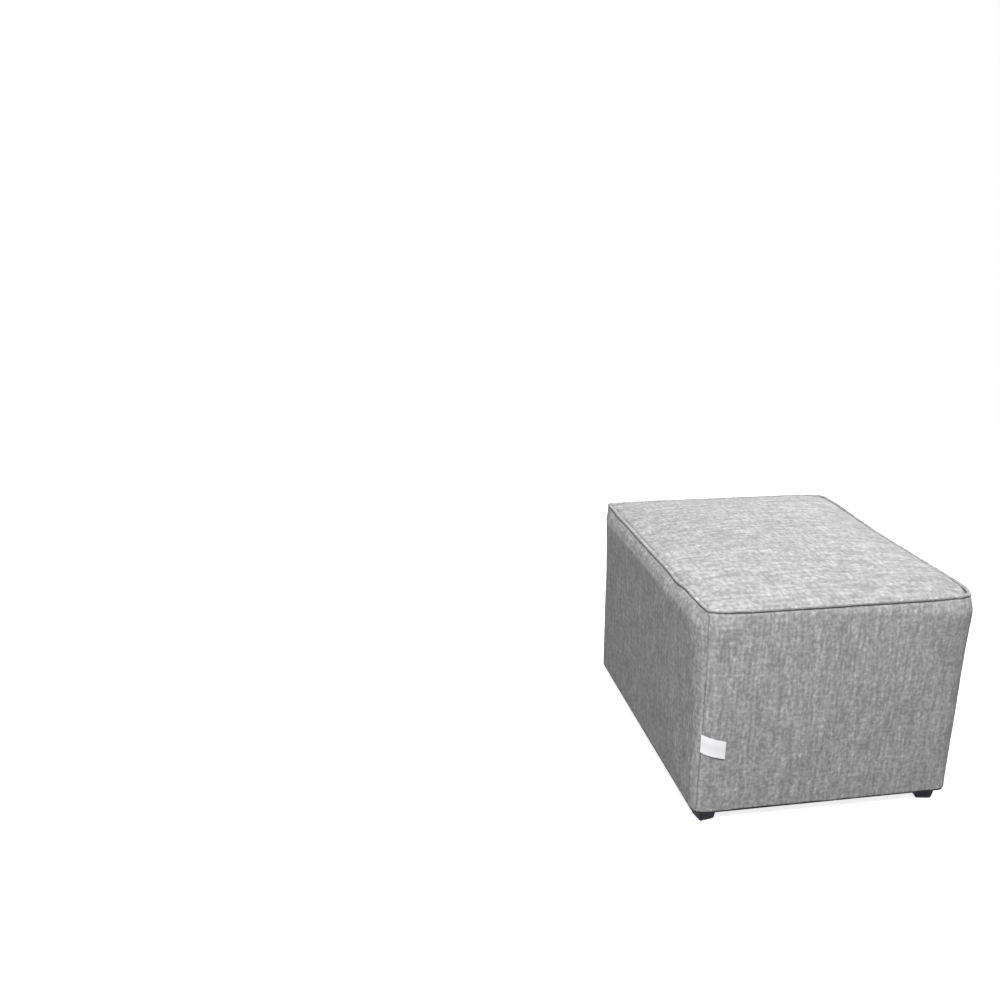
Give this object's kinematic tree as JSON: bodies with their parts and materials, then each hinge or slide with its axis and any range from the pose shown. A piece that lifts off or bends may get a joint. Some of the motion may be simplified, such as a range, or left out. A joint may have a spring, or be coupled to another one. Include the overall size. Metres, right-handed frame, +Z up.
{
  "type": "glider ottoman",
  "caption": "Rectangular upholstered ottoman: crowned padded top with piped edge, boxed cloth sides that taper down, small tapered screw-in feet under the corners.",
  "frame": {"origin": "centre of the footprint, on the floor under the foot pads", "axes": "+Z up; Y along the long side; X along the short side; the short side with the label faces -Y"},
  "size_m": [0.45, 0.55, 0.38],
  "materials": {
    "pine": "sawn, unfinished softwood",
    "beech": "fluted dowel, unfinished",
    "hardboard": "smooth brown hardboard",
    "zinc_steel": "zinc plated",
    "brass_insert": "plain brass",
    "webbing": "woven elastic webbing",
    "spunbond": "thin spun cloth",
    "foam": "open-cell foam",
    "wadding": "soft polyester wadding",
    "cover_cloth": "matte linen-look weave in mixed light and mid grey yarns",
    "welt_cord": "twisted filler cord",
    "label_satin": "white satin, blank",
    "dust_cloth": "black spun cloth",
    "foot_plastic": "moulded black plastic, satin",
    "foot_felt": "pressed felt"
  },
  "bodies": {
    "ottoman": {"corner_post_front_right": "pine", "corner_post_back_right": "pine", "corner_post_back_left": "pine", "corner_post_front_left": "pine", "top_rail_front": "pine", "top_rail_right": "pine", "top_rail_back": "pine", "top_rail_left": "pine", "bottom_rail_front": "pine", "bottom_rail_right": "pine", "bottom_rail_back": "pine", "bottom_rail_left": "pine", "bottom_stretcher": "pine", "frame_dowels": "beech", "stretcher_screws": "zinc_steel", "threaded_inserts": "brass_insert", "side_board_front": "hardboard", "side_board_right": "hardboard", "side_board_back": "hardboard", "side_board_left": "hardboard", "board_staples": "zinc_steel", "webbing_lengthwise": "webbing", "webbing_crosswise": "webbing", "webbing_staples": "zinc_steel", "barrier_cloth": "spunbond", "top_foam": "foam", "top_wadding": "wadding", "side_foam_front": "foam", "side_foam_right": "foam", "side_foam_back": "foam", "side_foam_left": "foam", "top_cover_panel": "cover_cloth", "side_panel_front": "cover_cloth", "side_panel_right": "cover_cloth", "side_panel_back": "cover_cloth", "side_panel_left": "cover_cloth", "piping_sleeve": "cover_cloth", "piping_cord": "welt_cord", "label": "label_satin", "dust_cover": "dust_cloth", "dust_cover_staples": "zinc_steel"},
    "washer_front_right": {"foot_washer_front_right": "zinc_steel"},
    "foot_front_right": {"foot_front_right": "foot_plastic", "foot_stud_front_right": "zinc_steel", "foot_pad_front_right": "foot_felt"},
    "washer_back_right": {"foot_washer_back_right": "zinc_steel"},
    "foot_back_right": {"foot_back_right": "foot_plastic", "foot_stud_back_right": "zinc_steel", "foot_pad_back_right": "foot_felt"},
    "washer_back_left": {"foot_washer_back_left": "zinc_steel"},
    "foot_back_left": {"foot_back_left": "foot_plastic", "foot_stud_back_left": "zinc_steel", "foot_pad_back_left": "foot_felt"},
    "washer_front_left": {"foot_washer_front_left": "zinc_steel"},
    "foot_front_left": {"foot_front_left": "foot_plastic", "foot_stud_front_left": "zinc_steel", "foot_pad_front_left": "foot_felt"}
  },
  "joints": [
    {"name": "foot_drop_front_right", "type": "slide", "parent": "ottoman", "child": "washer_front_right", "axis": [0, 0, -1], "range_m": [0, 0.01]},
    {"name": "foot_turn_front_right", "type": "hinge", "parent": "washer_front_right", "child": "foot_front_right", "pos_m": [0.189, -0.239, 0.0214], "axis": [0, 0, -1], "range_deg": [0, 2880]},
    {"name": "foot_drop_back_right", "type": "slide", "parent": "ottoman", "child": "washer_back_right", "axis": [0, 0, -1], "range_m": [0, 0.01]},
    {"name": "foot_turn_back_right", "type": "hinge", "parent": "washer_back_right", "child": "foot_back_right", "pos_m": [0.189, 0.239, 0.0214], "axis": [0, 0, -1], "range_deg": [0, 2880]},
    {"name": "foot_drop_back_left", "type": "slide", "parent": "ottoman", "child": "washer_back_left", "axis": [0, 0, -1], "range_m": [0, 0.01]},
    {"name": "foot_turn_back_left", "type": "hinge", "parent": "washer_back_left", "child": "foot_back_left", "pos_m": [-0.189, 0.239, 0.0214], "axis": [0, 0, -1], "range_deg": [0, 2880]},
    {"name": "foot_drop_front_left", "type": "slide", "parent": "ottoman", "child": "washer_front_left", "axis": [0, 0, -1], "range_m": [0, 0.01]},
    {"name": "foot_turn_front_left", "type": "hinge", "parent": "washer_front_left", "child": "foot_front_left", "pos_m": [-0.189, -0.239, 0.0214], "axis": [0, 0, -1], "range_deg": [0, 2880]}
  ],
  "couplings": [
    {"joint": "foot_drop_front_right", "follows": "foot_turn_front_right", "m_per_rad": 0.00019894},
    {"joint": "foot_drop_back_right", "follows": "foot_turn_back_right", "m_per_rad": 0.00019894},
    {"joint": "foot_drop_back_left", "follows": "foot_turn_back_left", "m_per_rad": 0.00019894},
    {"joint": "foot_drop_front_left", "follows": "foot_turn_front_left", "m_per_rad": 0.00019894}
  ]
}
